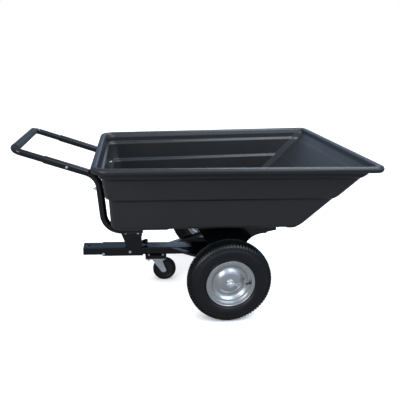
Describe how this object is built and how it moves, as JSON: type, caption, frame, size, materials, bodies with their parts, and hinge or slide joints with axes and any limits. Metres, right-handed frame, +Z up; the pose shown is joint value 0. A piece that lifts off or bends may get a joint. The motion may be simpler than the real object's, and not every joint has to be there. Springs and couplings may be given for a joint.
{
  "type": "garden cart with tipping tub",
  "caption": "Tow-behind garden trailer with a moulded tipping tub, spout end, pneumatic wheels, swivel castor and foam-gripped push handle.",
  "frame": {"origin": "centre of the box around the trailer at rest, on the ground", "axes": "+X towards the spout at the rear, -X towards the handle and the tow end, -Y the left side seen from behind the handle looking at the tow end, +Z up"},
  "size_m": [1.6287, 1.0646, 0.7877],
  "materials": {
    "tub_plastic": "moulded charcoal plastic, fine grain, satin",
    "frame_paint": "black powder coat, gloss",
    "zinc": "bright zinc plated steel",
    "rim_paint": "silver paint on pressed steel",
    "tyre_rubber": "black rubber, matte",
    "castor_rubber": "black rubber, matte",
    "core_plastic": "black nylon",
    "foam": "closed-cell foam rubber, matte",
    "knob_plastic": "black moulded plastic, gloss",
    "valve_rubber": "black rubber"
  },
  "bodies": {
    "chassis": {"drawbar": "frame_paint", "saddle_bracket": "frame_paint", "rest_channel": "frame_paint", "axle_tube": "frame_paint", "axle_rod": "zinc", "axle_bolt": "zinc", "latch_housing": "frame_paint", "castor_mount": "frame_paint", "castor_plate": "zinc", "castor_kingpin": "zinc", "bracket_bolt_front": "zinc", "bracket_bolt_rear": "zinc", "rest_bolt_front": "zinc", "rest_bolt_rear": "zinc", "axle_brace_left": "frame_paint", "axle_spacer_left": "zinc", "axle_washer_left": "zinc", "cotter_pin_left": "zinc", "castor_bolt_front_left": "zinc", "castor_bolt_rear_left": "zinc", "axle_brace_right": "frame_paint", "axle_spacer_right": "zinc", "axle_washer_right": "zinc", "cotter_pin_right": "zinc", "castor_bolt_front_right": "zinc", "castor_bolt_rear_right": "zinc"},
    "tipping_tub": {"tub": "tub_plastic", "front_cross_member": "frame_paint", "rear_cross_channel": "frame_paint", "catch_plate": "frame_paint", "side_tube_left": "frame_paint", "side_rail_left": "frame_paint", "wall_bolt_left": "zinc", "clamp_screw_left": "zinc", "floor_bolt_front_left": "zinc", "floor_bolt_rear_left": "zinc", "side_tube_right": "frame_paint", "side_rail_right": "frame_paint", "wall_bolt_right": "zinc", "clamp_screw_right": "zinc", "floor_bolt_front_right": "zinc", "floor_bolt_rear_right": "zinc"},
    "handle": {"handle_tube": "frame_paint", "foam_grip": "foam"},
    "wheel_left": {"tyre_left": "tyre_rubber", "wheel_rim_left": "rim_paint", "bearing_outer_left": "core_plastic", "bearing_inner_left": "core_plastic", "valve_stem_left": "valve_rubber"},
    "wheel_right": {"tyre_right": "tyre_rubber", "wheel_rim_right": "rim_paint", "bearing_outer_right": "core_plastic", "bearing_inner_right": "core_plastic", "valve_stem_right": "valve_rubber"},
    "castor_swivel": {"castor_fork": "zinc", "castor_axle_bolt": "zinc"},
    "castor_wheel": {"castor_tyre": "castor_rubber", "castor_core": "core_plastic"},
    "latch": {"latch_pin": "zinc", "latch_knob": "knob_plastic"}
  },
  "joints": [
    {"name": "tub_tip", "type": "hinge", "parent": "chassis", "child": "tipping_tub", "pos_m": [0.17556, 0, 0.2], "axis": [0, 1, 0], "range_deg": [0, 50]},
    {"name": "wheel_left_spin", "type": "hinge", "parent": "chassis", "child": "wheel_left", "pos_m": [0.17556, -0.4274, 0.2], "axis": [0, 1, 0], "continuous": true},
    {"name": "wheel_right_spin", "type": "hinge", "parent": "chassis", "child": "wheel_right", "pos_m": [0.17556, 0.4274, 0.2], "axis": [0, 1, 0], "continuous": true},
    {"name": "castor_turn", "type": "hinge", "parent": "chassis", "child": "castor_swivel", "pos_m": [-0.14794, 0, 0.0625], "axis": [0, 0, 1], "continuous": true},
    {"name": "castor_spin", "type": "hinge", "parent": "castor_swivel", "child": "castor_wheel", "pos_m": [-0.09644, 0, 0.0625], "axis": [0, 1, 0], "continuous": true},
    {"name": "handle_slide", "type": "slide", "parent": "tipping_tub", "child": "handle", "axis": [-0.9558, 0, 0.294], "range_m": [-0.07, 0.04]},
    {"name": "latch_pull", "type": "slide", "parent": "chassis", "child": "latch", "axis": [1, 0, 0], "range_m": [0, 0.018], "stiffness_N_per_m": 1500, "springref_m": -0.005}
  ]
}
